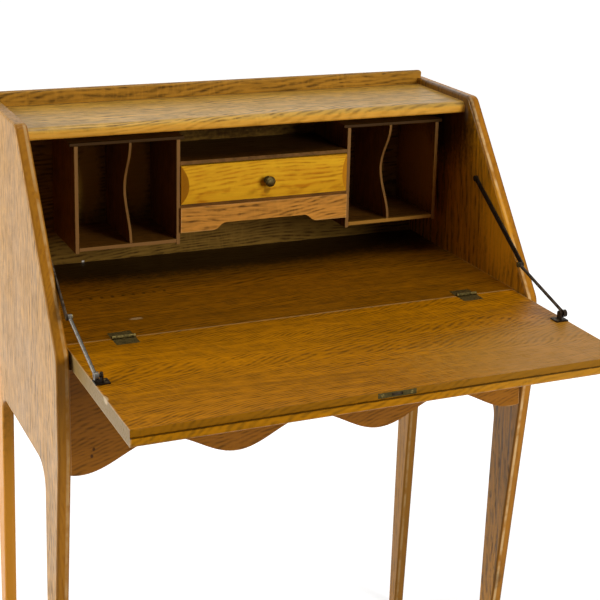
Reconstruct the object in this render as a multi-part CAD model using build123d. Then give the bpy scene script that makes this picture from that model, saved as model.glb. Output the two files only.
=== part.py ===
from build123d import *
import math
import os

os.makedirs("parts", exist_ok=True)

# Lengths are in millimetres. Y is counted back from the lid's hinge line and Z up from the writing bed,
# until a piece is placed: then the floor is Z = 0 and the open desk is centred on X and Y.

# Case
INNER_WIDTH = 724.0
SIDE_THICKNESS = 19.0
BED_HEIGHT = 760.0
BED_DEPTH = 359.0
BED_THICKNESS = 23.0
BACK_THICKNESS = 8.0
BACK_DROP = 60.0
TOP_HEIGHT = 265.0
TOP_THICKNESS = 18.0
TOP_SETBACK = 185.0
TOP_NOSE_UPPER = 11.0
TOP_NOSE_LOWER = 4.5
CLEAT_WIDTH = 18.0
CLEAT_INSET = 12.0

# Side boards and legs
SIDE_RISE = 10.0
SIDE_FRONT = 40.0
SLANT_DEGREES = 52.3
SLANT_START = 36.0
SHOULDER_RADIUS = 26.0
TOP_CORNER_RADIUS = 16.0
ARCH_DROP = 197.0
ARCH_FRONT_RADIUS = 36.0
ARCH_REAR_RADIUS = 30.0
LEG_TAPER_DROP = 150.0
FRONT_LEG_WIDTH = 80.0
FRONT_FOOT_SETBACK = 34.0
FRONT_FOOT_WIDTH = 22.0
REAR_LEG_WIDTH = 48.0
REAR_FOOT_WIDTH = 22.0
REAR_FOOT_SPLAY = 10.0
EDGE_ROUND = 4.0
FOOT_SQUARE = 10.0

# Gallery
GALLERY_THICKNESS = 12.0
GALLERY_HEIGHT = 23.0
GALLERY_EAR = 9.0
GALLERY_ROUND = 5.0
GALLERY_EDGE_ROUND = 4.8

# Front apron
APRON_THICKNESS = 19.0
APRON_SETBACK = 6.0
APRON_DEPTH = 138.5
WAVE_HEIGHT = 19.5
WAVE_PERIOD = 231.0
WAVE_STEPS = 26
RAIL_DEPTH = 18.0
RAIL_REAR = 11.5

# Lid
LID_LENGTH = 306.0
LID_THICKNESS = 23.0
LID_BAND = 10.5
LID_LIP = 2.0
LID_LIP_ROUND = 4.0
LID_SIDE_GAP = 3.2
LID_GAP = 0.5
APRON_GAP = 1.5

# Butt hinges
HINGE_X = 275.0
HINGE_LENGTH = 34.0
LEAF_WIDTH = 25.0
LEAF_THICKNESS = 1.8
AXIS_HEIGHT = 1.5
KNUCKLE_RADIUS = 3.0
PIN_RADIUS = 1.4
RUNNING_FIT = 0.05
KNUCKLE_GAP = 0.3
KNUCKLE_ROOM = 0.5

# Pigeonholes
UNIT_OFFSET = 27.0
UNIT_SETBACK = 225.0
BANK_OUTER = 306.5
BANK_INNER = 145.5
WALL_THICKNESS = 6.0
WALL_DROP = 3.0
BANK_HEIGHT = 170.0
BOARD_THICKNESS = 6.0
ROOF_DROP = 35.0
ROOF_THICKNESS = 5.0
ROOF_OVERHANG = 6.5
DIVIDER_THICKNESS = 4.0
DIVIDER_X = 221.5
DIVIDER_SETBACK = 2.0
DIVIDER_SCOOP = 32.0
DIVIDER_STEPS = 9
SHELF_DROP = 81.0

# Small apron under the drawer
CENTER_APRON_THICKNESS = 10.0
CENTER_APRON_PROUD = 4.0
CENTER_APRON_DEPTH = 40.0
CENTER_APRON_RISE = 11.0
CENTER_APRON_FLAT = 66.0
CENTER_APRON_OGEE = 24.0

# Drawer
DRAWER_OPENING = 63.0
DRAWER_BOARD_THICKNESS = 5.0
DRAWER_SIDE_GAP = 0.8
DRAWER_RUN_GAP = 0.3
DRAWER_TOP_GAP = 1.5
DRAWER_FRONT_THICKNESS = 9.0
DRAWER_PROUD = 2.0
DRAWER_SWELL = 7.0
DRAWER_END = 11.0
DRAWER_REAR_GAP = 7.0
DRAWER_WALL = 6.0
DRAWER_WALL_DROP = 10.0
DRAWER_BOTTOM_THICKNESS = 4.0
KNOB_RADIUS = 8.5
KNOB_STEM_RADIUS = 4.0
KNOB_LENGTH = 17.0
KNOB_FLATNESS = 0.6
KNOB_PLATE_RADIUS = 6.5
KNOB_PLATE_THICKNESS = 1.5

# Lock
LOCK_WIDTH = 50.0
LOCK_DEPTH = 30.0
LOCK_THICKNESS = 8.0
SELVAGE_WIDTH = 56.0
SELVAGE_HEIGHT = 7.5
SELVAGE_THICKNESS = 1.5
BOLT_WIDTH = 16.0
BOLT_THICKNESS = 3.5
BOLT_LENGTH = 20.0
BOLT_RECESS = 0.5
BOLT_FIT = 0.1
STRIKE_WIDTH = 40.0
STRIKE_FRONT = 4.6
STRIKE_DEPTH = 13.0
STRIKE_THICKNESS = 1.0
POCKET_FRONT = 5.7
POCKET_DEPTH = 9.3
POCKET_WIDTH = 19.0
POCKET_HEIGHT = 6.5
ESCUTCHEON_RADIUS = 11.0
ESCUTCHEON_THICKNESS = 1.0
KEYHOLE_RADIUS = 2.4
KEYHOLE_WIDTH = 2.2
KEYHOLE_LENGTH = 7.0
KEYHOLE_SETBACK = 17.0
ESCUTCHEON_SHIFT = 2.3

# Stays: the stud on the side, the elbow and the eye on the lid, as (Y, Z)
STUD = (134.0, 148.0)
ELBOW = (-20.0, 47.0)
EYE = (-149.0, 10.0)
LINK_WIDTH = 9.0
LINK_THICKNESS = 2.0
LINK_STANDOFF = 0.6
LINK_GAP = 0.4
STUD_RADIUS = 3.0
STUD_HEAD_RADIUS = 5.0
STUD_HEAD_THICKNESS = 1.5
STUD_GAP = 0.3
RIVET_RADIUS = 2.2
RIVET_HEAD_RADIUS = 4.0
RIVET_HEAD_THICKNESS = 1.2
ROD_RADIUS = 2.5
ROD_EYE_RADIUS = 5.5
ROD_EYE_THICKNESS = 5.6
ELBOW_DISC_RADIUS = 4.4
EYE_PIN_RADIUS = 2.5
EYE_PLATE_WIDTH = 20.0
EYE_PLATE_DEPTH = 18.0
EYE_PLATE_THICKNESS = 2.0
EYE_EAR_THICKNESS = 2.5
EYE_EAR_GAP = 3.5
EYE_EAR_RADIUS = 5.0

# How near two edges count as level, and how far a cut runs past a face
NEAR = 0.01
CUT_PAST = 1.0

# Derived sizes
HALF_WIDTH = INNER_WIDTH / 2
CASE_BACK = BED_DEPTH + BACK_THICKNESS
LID_REACH = LID_LENGTH + LID_LIP
HINGE_Y = (LID_REACH - CASE_BACK - REAR_FOOT_SPLAY) / 2
TOP_UNDERSIDE = TOP_HEIGHT - TOP_THICKNESS
SIDE_TOP = TOP_HEIGHT + SIDE_RISE
LID_HALF_WIDTH = HALF_WIDTH - LID_SIDE_GAP
APRON_TOP = -LID_THICKNESS - APRON_GAP
UNIT_DEPTH = BED_DEPTH - UNIT_SETBACK
DRAWER_LENGTH = UNIT_DEPTH + DRAWER_PROUD - DRAWER_FRONT_THICKNESS - DRAWER_REAR_GAP
TOP_REAR = CASE_BACK - GALLERY_THICKNESS
ROOF_HEIGHT = TOP_HEIGHT - ROOF_DROP
ROOF_BOTTOM = ROOF_HEIGHT - ROOF_THICKNESS
FLOOR_BOTTOM = ROOF_HEIGHT - BANK_HEIGHT
FLOOR_TOP = FLOOR_BOTTOM + BOARD_THICKNESS
WALL_BOTTOM = FLOOR_BOTTOM - WALL_DROP
SHELF_BOTTOM = TOP_HEIGHT - SHELF_DROP
DRAWER_BOARD_TOP = SHELF_BOTTOM - DRAWER_OPENING
DRAWER_BOARD_BOTTOM = DRAWER_BOARD_TOP - DRAWER_BOARD_THICKNESS
CENTER_APRON_BOTTOM = DRAWER_BOARD_BOTTOM - CENTER_APRON_DEPTH
CENTER_HALF = BANK_INNER - WALL_THICKNESS / 2
DRAWER_BOTTOM_Z = DRAWER_BOARD_TOP + DRAWER_RUN_GAP
DRAWER_TOP_Z = SHELF_BOTTOM - DRAWER_TOP_GAP
LOCK_MIDDLE = -LID_BAND / 2
LINK_OUTER = HALF_WIDTH - LINK_STANDOFF
LINK_INNER = LINK_OUTER - LINK_THICKNESS
ROD_OUTER = LINK_INNER - LINK_GAP
ROD_X = ROD_OUTER - ROD_EYE_THICKNESS / 2
ROD_INNER = ROD_OUTER - ROD_EYE_THICKNESS
LINK_THROUGH = (LINK_INNER - CUT_PAST, LINK_OUTER + CUT_PAST)
UPRIGHT = (Align.CENTER, Align.CENTER, Align.MIN)


def block(x_range, y_range, z_range):
    """A box between two values of X, of Y and of Z."""
    size = [high - low for low, high in (x_range, y_range, z_range)]
    middle = [(high + low) / 2 for low, high in (x_range, y_range, z_range)]
    return Pos(middle[0], middle[1] + HINGE_Y, middle[2] + BED_HEIGHT) * Box(*size)


def side_plane(x):
    """A plane across X, drawn on in Y and Z."""
    return Plane(origin=(x, HINGE_Y, BED_HEIGHT), x_dir=(0, 1, 0), z_dir=(1, 0, 0))


def front_plane(y):
    """A plane across Y, drawn on in X and Z. Its solids grow towards the front."""
    return Plane(origin=(0, y + HINGE_Y, BED_HEIGHT), x_dir=(1, 0, 0), z_dir=(0, -1, 0))


def rod_along_x(center, radius, x_range):
    """A round bar along X about a point given as (Y, Z)."""
    start = side_plane(x_range[0]) * Pos(center[0], center[1])
    return start * Cylinder(radius, x_range[1] - x_range[0], align=UPRIGHT)


def rounded_face(corners):
    """A closed flat outline through corners (u, v, radius), each rounded by its own radius."""
    count = len(corners)
    edges = []
    spans = []
    for index, (u, v, radius) in enumerate(corners):
        here = Vector(u, v)
        back = (Vector(*corners[index - 1][:2]) - here).normalized()
        ahead = (Vector(*corners[(index + 1) % count][:2]) - here).normalized()
        half_angle = math.radians(back.get_angle(ahead)) / 2
        reach = radius / math.tan(half_angle)
        spans.append((here + back * reach, here + ahead * reach))
        if radius > 0:
            crown = here + (back + ahead).normalized() * (radius / math.sin(half_angle) - radius)
            edges.append(ThreePointArc(spans[-1][0], crown, spans[-1][1]))
    for index, (_, leave) in enumerate(spans):
        edges.append(Line(leave, spans[(index + 1) % count][0]))
    return make_face(edges)


def both_stays(name, right_piece):
    """A piece of the right-hand stay and its mirror image on the left."""
    return {f"stay_right_{name}": right_piece, f"stay_left_{name}": mirror(right_piece, about=Plane.YZ)}


def side_board():
    """One board with the slanted front edge, the arch and both legs in a single outline."""
    rise = math.tan(math.radians(SLANT_DEGREES))
    shoulder = (SLANT_START - SIDE_FRONT) * rise
    top_front = SIDE_TOP / rise - SLANT_START
    front_leg_rear = FRONT_LEG_WIDTH - SIDE_FRONT
    rear_leg_front = CASE_BACK - REAR_LEG_WIDTH
    rear_foot_back = CASE_BACK + REAR_FOOT_SPLAY
    corners = [
        (rear_foot_back, -BED_HEIGHT, 0),
        (CASE_BACK, -LEG_TAPER_DROP, 0),
        (CASE_BACK, SIDE_TOP, 0),
        (top_front, SIDE_TOP, TOP_CORNER_RADIUS),
        (-SIDE_FRONT, shoulder, SHOULDER_RADIUS),
        (-SIDE_FRONT, -LEG_TAPER_DROP, 0),
        (FRONT_FOOT_SETBACK, -BED_HEIGHT, 0),
        (FRONT_FOOT_SETBACK + FRONT_FOOT_WIDTH, -BED_HEIGHT, 0),
        (front_leg_rear, -ARCH_DROP, ARCH_FRONT_RADIUS),
        (rear_leg_front, -ARCH_DROP, ARCH_REAR_RADIUS),
        (rear_foot_back - REAR_FOOT_WIDTH, -BED_HEIGHT, 0),
    ]
    board = extrude(side_plane(HALF_WIDTH) * rounded_face(corners), SIDE_THICKNESS)
    rounded = [edge for edge in board.edges()
               if abs((edge @ 0).X - (edge @ 1).X) < NEAR
               and edge.center().Z > FOOT_SQUARE
               and edge.center().Y < HINGE_Y + CASE_BACK - NEAR]
    return fillet(rounded, EDGE_ROUND)


def top_board():
    """The top, with a rounded front edge and the bolt's pocket in its underside."""
    corners = [
        (TOP_SETBACK, TOP_UNDERSIDE, TOP_NOSE_LOWER),
        (TOP_REAR, TOP_UNDERSIDE, 0),
        (TOP_REAR, TOP_HEIGHT, 0),
        (TOP_SETBACK, TOP_HEIGHT, TOP_NOSE_UPPER),
    ]
    board = extrude(side_plane(-HALF_WIDTH) * rounded_face(corners), INNER_WIDTH)
    pocket_start = TOP_SETBACK + POCKET_FRONT
    pocket = block((-POCKET_WIDTH / 2, POCKET_WIDTH / 2), (pocket_start, pocket_start + POCKET_DEPTH),
                   (TOP_UNDERSIDE, TOP_UNDERSIDE + POCKET_HEIGHT))
    return board - pocket - strike_blank()


def strike_blank():
    """The strike plate's outer form, let into the underside of the top."""
    start = TOP_SETBACK + STRIKE_FRONT
    return block((-STRIKE_WIDTH / 2, STRIKE_WIDTH / 2), (start, start + STRIKE_DEPTH),
                 (TOP_UNDERSIDE, TOP_UNDERSIDE + STRIKE_THICKNESS))


def strike_plate():
    """The brass plate that the bolt passes through."""
    start = TOP_SETBACK + POCKET_FRONT
    slot = block((-POCKET_WIDTH / 2, POCKET_WIDTH / 2), (start, start + POCKET_DEPTH),
                 (TOP_UNDERSIDE - CUT_PAST, TOP_UNDERSIDE + POCKET_HEIGHT))
    return strike_blank() - slot


def gallery():
    """The low rail behind the top, with ears that lie on the side boards."""
    ear = HALF_WIDTH + GALLERY_EAR
    top = TOP_HEIGHT + GALLERY_HEIGHT
    corners = [
        (-HALF_WIDTH, TOP_UNDERSIDE, 0),
        (HALF_WIDTH, TOP_UNDERSIDE, 0),
        (HALF_WIDTH, SIDE_TOP, 0),
        (ear, SIDE_TOP, 0),
        (ear, top, GALLERY_ROUND),
        (-ear, top, GALLERY_ROUND),
        (-ear, SIDE_TOP, 0),
        (-HALF_WIDTH, SIDE_TOP, 0),
    ]
    rail = extrude(front_plane(CASE_BACK) * rounded_face(corners), GALLERY_THICKNESS)
    level = BED_HEIGHT + top - NEAR
    upper = [edge for edge in rail.edges().filter_by(Axis.X) if edge.center().Z > level]
    return fillet(upper, GALLERY_EDGE_ROUND)


def front_apron():
    """The board under the lid, with a wave along its lower edge."""
    step = INNER_WIDTH / WAVE_STEPS
    wave = [index * step - HALF_WIDTH for index in range(WAVE_STEPS + 1)]
    middle = APRON_TOP - APRON_DEPTH
    low = [(x, middle + WAVE_HEIGHT * math.cos(2 * math.pi * x / WAVE_PERIOD)) for x in wave]
    edges = [
        Spline(*low),
        Line(low[-1], (HALF_WIDTH, APRON_TOP)),
        Line((HALF_WIDTH, APRON_TOP), (-HALF_WIDTH, APRON_TOP)),
        Line((-HALF_WIDTH, APRON_TOP), low[0]),
    ]
    rear = APRON_SETBACK - SIDE_FRONT + APRON_THICKNESS
    return extrude(front_plane(rear) * make_face(edges), APRON_THICKNESS)


def front_rail():
    """The strip behind the apron that closes the space under the bed's front edge."""
    front = APRON_SETBACK - SIDE_FRONT + APRON_THICKNESS
    return block((-HALF_WIDTH, HALF_WIDTH), (front, RAIL_REAR), (APRON_TOP - RAIL_DEPTH, APRON_TOP))


def knuckle_notch(x, toward):
    """Room for a hinge's knuckles at an edge. toward is 1 in the bed and -1 in the lid."""
    half = HINGE_LENGTH / 2 + KNUCKLE_ROOM
    reach = KNUCKLE_RADIUS + KNUCKLE_ROOM
    span = sorted((0, toward * reach))
    return block((x - half, x + half), span, (AXIS_HEIGHT - reach - KNUCKLE_ROOM, CUT_PAST))


def leaf_plate(x, toward):
    """The flat of one hinge leaf, flush with the wood."""
    half = HINGE_LENGTH / 2
    span = sorted((toward * (KNUCKLE_RADIUS + KNUCKLE_ROOM), toward * LEAF_WIDTH))
    return block((x - half, x + half), span, (-LEAF_THICKNESS, 0))


def hinge_leaf(x, toward):
    """A leaf with its share of the knuckles: the two outer ones on the bed, the middle one on the lid."""
    third = HINGE_LENGTH / 3
    left = x - HINGE_LENGTH / 2
    if toward > 0:
        spans = [(left, left + third - KNUCKLE_GAP), (left + 2 * third + KNUCKLE_GAP, left + HINGE_LENGTH)]
    else:
        spans = [(left + third, left + 2 * third)]
    leaf = leaf_plate(x, toward)
    for span in spans:
        reach = sorted((0, toward * (KNUCKLE_RADIUS + KNUCKLE_ROOM)))
        leaf += rod_along_x((0, AXIS_HEIGHT), KNUCKLE_RADIUS, span)
        leaf += block(span, reach, (AXIS_HEIGHT - KNUCKLE_RADIUS, 0))
    through = (left - CUT_PAST, left + HINGE_LENGTH + CUT_PAST)
    bore = rod_along_x((0, AXIS_HEIGHT), PIN_RADIUS + RUNNING_FIT, through)
    return leaf - bore


def hinge_pin(x):
    """The pin through a hinge's three knuckles."""
    return rod_along_x((0, AXIS_HEIGHT), PIN_RADIUS, (x - HINGE_LENGTH / 2, x + HINGE_LENGTH / 2))


def writing_bed():
    """The fixed part of the writing surface, cut for the hinges."""
    board = block((-HALF_WIDTH, HALF_WIDTH), (LID_GAP, BED_DEPTH), (-BED_THICKNESS, 0))
    for x in (-HINGE_X, HINGE_X):
        board -= leaf_plate(x, 1)
        board -= knuckle_notch(x, 1)
    return board


def cleat():
    """A strip that carries the bed along one side board."""
    return block((HALF_WIDTH - CLEAT_WIDTH, HALF_WIDTH), (CLEAT_INSET, BED_DEPTH - CLEAT_INSET),
                 (-BED_THICKNESS - CLEAT_WIDTH, -BED_THICKNESS))


def lock_case_blank():
    """The lock's outer form inside the lid."""
    face = -LID_LENGTH + SELVAGE_THICKNESS
    return block((-LOCK_WIDTH / 2, LOCK_WIDTH / 2), (face, face + LOCK_DEPTH),
                 (LOCK_MIDDLE - LOCK_THICKNESS / 2, LOCK_MIDDLE + LOCK_THICKNESS / 2))


def selvage_blank():
    """The lock's brass face on the lid's edge."""
    return block((-SELVAGE_WIDTH / 2, SELVAGE_WIDTH / 2), (-LID_LENGTH, -LID_LENGTH + SELVAGE_THICKNESS),
                 (LOCK_MIDDLE - SELVAGE_HEIGHT / 2, LOCK_MIDDLE + SELVAGE_HEIGHT / 2))


def bolt_bar(room, front):
    """The bolt's bar from a front end inwards, or with some room its channel."""
    half = BOLT_WIDTH / 2 + room
    rear = -LID_LENGTH + BOLT_RECESS + BOLT_LENGTH + room
    return block((-half, half), (front, rear),
                 (LOCK_MIDDLE - BOLT_THICKNESS / 2 - room, LOCK_MIDDLE + BOLT_THICKNESS / 2 + room))


def keyhole(z_range):
    """A keyhole through the outer face of the lid."""
    center = -LID_LENGTH + KEYHOLE_SETBACK
    place = Pos(0, center + HINGE_Y, z_range[0] + BED_HEIGHT)
    bow = place * Cylinder(KEYHOLE_RADIUS, z_range[1] - z_range[0], align=UPRIGHT)
    slot = block((-KEYHOLE_WIDTH / 2, KEYHOLE_WIDTH / 2), (center, center + KEYHOLE_LENGTH), z_range)
    return bow + slot


def lid_board():
    """The fall, with its rabbeted front edge and the cuts for its hinges and lock."""
    across = (-LID_HALF_WIDTH, LID_HALF_WIDTH)
    corners = [
        (-LID_GAP, 0, 0),
        (-LID_LENGTH, 0, 0),
        (-LID_LENGTH, -LID_BAND, 0),
        (-LID_REACH, -LID_BAND, 0),
        (-LID_REACH, -LID_THICKNESS, LID_LIP_ROUND),
        (-LID_GAP, -LID_THICKNESS, 0),
    ]
    board = extrude(side_plane(across[0]) * rounded_face(corners), across[1] - across[0])
    for x in (-HINGE_X, HINGE_X):
        board -= leaf_plate(x, -1)
        board -= knuckle_notch(x, -1)
    board -= keyhole((-LID_THICKNESS - CUT_PAST, LOCK_MIDDLE))
    return board - lock_case_blank() - selvage_blank()


def escutcheon():
    """The round plate about the keyhole, on the lid's outer face."""
    center = -LID_LENGTH + KEYHOLE_SETBACK + ESCUTCHEON_SHIFT
    low = -LID_THICKNESS - ESCUTCHEON_THICKNESS
    place = Pos(0, center + HINGE_Y, low + BED_HEIGHT)
    plate = place * Cylinder(ESCUTCHEON_RADIUS, ESCUTCHEON_THICKNESS, align=UPRIGHT)
    return plate - keyhole((low - CUT_PAST, -LID_THICKNESS + CUT_PAST))


def wall(x):
    """An upright of the pigeonholes, centred on an X counted from their middle."""
    middle = UNIT_OFFSET + x
    return block((middle - WALL_THICKNESS / 2, middle + WALL_THICKNESS / 2), (UNIT_SETBACK, BED_DEPTH),
                 (WALL_BOTTOM, ROOF_BOTTOM))


def bank_span(side, reach):
    """The X range of a bank between its walls, widened by reach. side is -1 on the left, 1 on the right."""
    inner = BANK_INNER + WALL_THICKNESS / 2 - reach
    outer = BANK_OUTER - WALL_THICKNESS / 2 + reach
    return sorted((UNIT_OFFSET + side * inner, UNIT_OFFSET + side * outer))


def divider(side):
    """The thin upright in a bank, with its front edge scooped for the fingers."""
    height = ROOF_BOTTOM - FLOOR_TOP
    front = UNIT_SETBACK + DIVIDER_SETBACK
    parts = [index / (DIVIDER_STEPS - 1) for index in range(DIVIDER_STEPS)]
    scoop = [(front + DIVIDER_SCOOP * math.sin(math.pi * part) ** 2, FLOOR_TOP + height * part)
             for part in parts]
    edges = [
        Spline(*scoop),
        Line(scoop[-1], (BED_DEPTH, ROOF_BOTTOM)),
        Line((BED_DEPTH, ROOF_BOTTOM), (BED_DEPTH, FLOOR_TOP)),
        Line((BED_DEPTH, FLOOR_TOP), scoop[0]),
    ]
    start = UNIT_OFFSET + side * DIVIDER_X - DIVIDER_THICKNESS / 2
    return extrude(side_plane(start) * make_face(edges), DIVIDER_THICKNESS)


def bank(side):
    """The five pieces of one bank of pigeonholes."""
    deep = (UNIT_SETBACK, BED_DEPTH)
    return {
        "outer_wall": wall(side * BANK_OUTER),
        "inner_wall": wall(side * BANK_INNER),
        "floor": block(bank_span(side, 0), deep, (FLOOR_BOTTOM, FLOOR_TOP)),
        "roof": block(bank_span(side, WALL_THICKNESS + ROOF_OVERHANG), deep, (ROOF_BOTTOM, ROOF_HEIGHT)),
        "divider": divider(side),
    }


def center_board(z_range):
    """A board between the two banks."""
    return block((UNIT_OFFSET - CENTER_HALF, UNIT_OFFSET + CENTER_HALF), (UNIT_SETBACK, BED_DEPTH), z_range)


def center_apron():
    """The small apron under the drawer, with an ogee at each end of its raised middle."""
    raised = CENTER_APRON_BOTTOM + CENTER_APRON_RISE
    half_rise = CENTER_APRON_BOTTOM + CENTER_APRON_RISE / 2
    knee = CENTER_APRON_FLAT + CENTER_APRON_OGEE / 2
    foot = CENTER_APRON_FLAT + CENTER_APRON_OGEE
    edges = [Line((-CENTER_APRON_FLAT, raised), (CENTER_APRON_FLAT, raised)),
             Line((-CENTER_HALF, DRAWER_BOARD_BOTTOM), (CENTER_HALF, DRAWER_BOARD_BOTTOM))]
    for side in (-1, 1):
        bend = (side * knee, half_rise)
        edges.append(TangentArc((side * CENTER_APRON_FLAT, raised), bend, tangent=(side, 0)))
        edges.append(TangentArc((side * foot, CENTER_APRON_BOTTOM), bend, tangent=(-side, 0)))
        corner = (side * CENTER_HALF, CENTER_APRON_BOTTOM)
        edges.append(Line((side * foot, CENTER_APRON_BOTTOM), corner))
        edges.append(Line(corner, (side * CENTER_HALF, DRAWER_BOARD_BOTTOM)))
    rear = UNIT_SETBACK - CENTER_APRON_PROUD + CENTER_APRON_THICKNESS
    return extrude(front_plane(rear) * Pos(UNIT_OFFSET, 0) * make_face(edges), CENTER_APRON_THICKNESS)


def drawer_front():
    """The drawer's front, swelled across its height, with a slanted half-moon at each end."""
    half = CENTER_HALF - DRAWER_SIDE_GAP
    face = UNIT_SETBACK - DRAWER_PROUD
    rear = face + DRAWER_FRONT_THICKNESS
    crown = face - DRAWER_SWELL
    middle = (DRAWER_TOP_Z + DRAWER_BOTTOM_Z) / 2
    edges = [
        ThreePointArc((face, DRAWER_BOTTOM_Z), (crown, middle), (face, DRAWER_TOP_Z)),
        Line((face, DRAWER_TOP_Z), (rear, DRAWER_TOP_Z)),
        Line((rear, DRAWER_TOP_Z), (rear, DRAWER_BOTTOM_Z)),
        Line((rear, DRAWER_BOTTOM_Z), (face, DRAWER_BOTTOM_Z)),
    ]
    front = extrude(side_plane(UNIT_OFFSET - half) * make_face(edges), 2 * half)
    for side in (-1, 1):
        end = UNIT_OFFSET + side * half
        tip = end - side * DRAWER_END
        wedge = Polyline((end, face + HINGE_Y), (tip, crown + HINGE_Y), (end, crown + HINGE_Y), close=True)
        low = Plane(origin=(0, 0, BED_HEIGHT + DRAWER_BOTTOM_Z))
        front -= extrude(low * make_face(wedge), DRAWER_TOP_Z - DRAWER_BOTTOM_Z)
    return front


def drawer_box():
    """The drawer's sides, back and bottom behind its front."""
    half = CENTER_HALF - DRAWER_SIDE_GAP
    start = UNIT_SETBACK - DRAWER_PROUD + DRAWER_FRONT_THICKNESS
    end = start + DRAWER_LENGTH
    rear = end - DRAWER_WALL
    low = DRAWER_BOTTOM_Z
    floor_top = low + DRAWER_BOTTOM_THICKNESS
    high = DRAWER_TOP_Z - DRAWER_WALL_DROP
    left = UNIT_OFFSET - half
    right = UNIT_OFFSET + half
    return {
        "drawer_left_side": block((left, left + DRAWER_WALL), (start, end), (floor_top, high)),
        "drawer_right_side": block((right - DRAWER_WALL, right), (start, end), (floor_top, high)),
        "drawer_back": block((left + DRAWER_WALL, right - DRAWER_WALL), (rear, end), (floor_top, high)),
        "drawer_bottom": block((left, right), (start, end), (low, floor_top)),
    }


def drawer_knob():
    """A turned knob on a small round plate."""
    middle = (DRAWER_TOP_Z + DRAWER_BOTTOM_Z) / 2
    crown = UNIT_SETBACK - DRAWER_PROUD - DRAWER_SWELL
    base = Plane(origin=(UNIT_OFFSET, crown + HINGE_Y, BED_HEIGHT + middle), z_dir=(0, -1, 0))
    plate = Cylinder(KNOB_PLATE_RADIUS, KNOB_PLATE_THICKNESS, align=UPRIGHT)
    ball_height = KNOB_LENGTH - KNOB_RADIUS * KNOB_FLATNESS
    stem = Cylinder(KNOB_STEM_RADIUS, ball_height, align=UPRIGHT)
    ball = Pos(0, 0, ball_height) * scale(Sphere(KNOB_RADIUS), (1, 1, KNOB_FLATNESS))
    return base * (plate + stem + ball)


def link_face(start, end, width):
    """A flat link's outline between two points, with round ends."""
    run = Vector(*end) - Vector(*start)
    middle = (Vector(*end) + Vector(*start)) * 0.5
    turn = math.degrees(math.atan2(run.Y, run.X))
    return Pos(middle.X, middle.Y) * Rot(0, 0, turn) * SlotCenterToCenter(run.length, width)


def stay_stud():
    """The shouldered stud on the side board that the upper link turns on."""
    head = LINK_INNER - STUD_GAP
    collar = rod_along_x(STUD, STUD_HEAD_RADIUS, (LINK_OUTER + STUD_GAP, HALF_WIDTH))
    shank = rod_along_x(STUD, STUD_RADIUS, (head - STUD_HEAD_THICKNESS, HALF_WIDTH))
    return collar + shank + rod_along_x(STUD, STUD_HEAD_RADIUS, (head - STUD_HEAD_THICKNESS, head))


def stay_upper_link():
    """The flat link from the stud to the elbow."""
    link = extrude(side_plane(LINK_INNER) * link_face(STUD, ELBOW, LINK_WIDTH), LINK_THICKNESS)
    link -= rod_along_x(STUD, STUD_RADIUS + RUNNING_FIT, LINK_THROUGH)
    return link - rod_along_x(ELBOW, RIVET_RADIUS, LINK_THROUGH)


def stay_rivet():
    """The elbow's rivet, flush in the upper link."""
    return rod_along_x(ELBOW, RIVET_RADIUS, (LINK_INNER, LINK_OUTER))


def stay_lower_link():
    """The round link from the eye on the lid to the elbow, with a flat disc at the elbow."""
    run = Vector(*ELBOW) - Vector(*EYE)
    start = Vector(ROD_X, EYE[0] + HINGE_Y, EYE[1] + BED_HEIGHT)
    path = Plane(origin=start, z_dir=(0, run.X, run.Y))
    rod = path * Cylinder(ROD_RADIUS, run.length, align=UPRIGHT)
    ring = rod_along_x(EYE, ROD_EYE_RADIUS, (ROD_INNER, ROD_OUTER))
    disc = rod_along_x(ELBOW, ELBOW_DISC_RADIUS, (ROD_INNER, ROD_OUTER))
    return rod + ring + disc - rod_along_x(EYE, EYE_PIN_RADIUS + RUNNING_FIT, (0, HALF_WIDTH))


def stay_rivet_head():
    """The elbow's rivet head on the lower link."""
    return rod_along_x(ELBOW, RIVET_HEAD_RADIUS, (ROD_INNER - RIVET_HEAD_THICKNESS, ROD_INNER))


def stay_eye():
    """The plate on the lid with an upright ear and the pin that the lower link turns on."""
    ear_inner = ROD_INNER - EYE_EAR_GAP - EYE_EAR_THICKNESS
    plate = block((ROD_OUTER - EYE_PLATE_WIDTH, ROD_OUTER),
                  (EYE[0] - EYE_PLATE_DEPTH / 2, EYE[0] + EYE_PLATE_DEPTH / 2), (0, EYE_PLATE_THICKNESS))
    ear_span = (ear_inner, ear_inner + EYE_EAR_THICKNESS)
    ear = block(ear_span, (EYE[0] - EYE_EAR_RADIUS, EYE[0] + EYE_EAR_RADIUS), (EYE_PLATE_THICKNESS, EYE[1]))
    ear += rod_along_x(EYE, EYE_EAR_RADIUS, ear_span)
    return plate + ear + rod_along_x(EYE, EYE_PIN_RADIUS, (ear_inner, ROD_OUTER))


pieces = {
    "side_right": side_board(),
    "top_board": top_board(),
    "gallery": gallery(),
    "back_panel": block((-HALF_WIDTH, HALF_WIDTH), (BED_DEPTH, CASE_BACK), (-BACK_DROP, TOP_UNDERSIDE)),
    "writing_bed": writing_bed(),
    "front_apron": front_apron(),
    "front_rail": front_rail(),
    "cleat_right": cleat(),
    "center_shelf": center_board((SHELF_BOTTOM, SHELF_BOTTOM + BOARD_THICKNESS)),
    "drawer_board": center_board((DRAWER_BOARD_BOTTOM, DRAWER_BOARD_TOP)),
    "center_apron": center_apron(),
    "drawer_front": drawer_front(),
    "drawer_knob": drawer_knob(),
    "lid_board": lid_board(),
    "lock_case": lock_case_blank() - bolt_bar(BOLT_FIT, -LID_LENGTH),
    "lock_selvage": selvage_blank() - bolt_bar(BOLT_FIT, -LID_LENGTH),
    "lock_bolt": bolt_bar(0, -LID_LENGTH + BOLT_RECESS),
    "escutcheon": escutcheon(),
    "strike_plate": strike_plate(),
}
pieces["side_left"] = mirror(pieces["side_right"], about=Plane.YZ)
pieces["cleat_left"] = mirror(pieces["cleat_right"], about=Plane.YZ)
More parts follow.
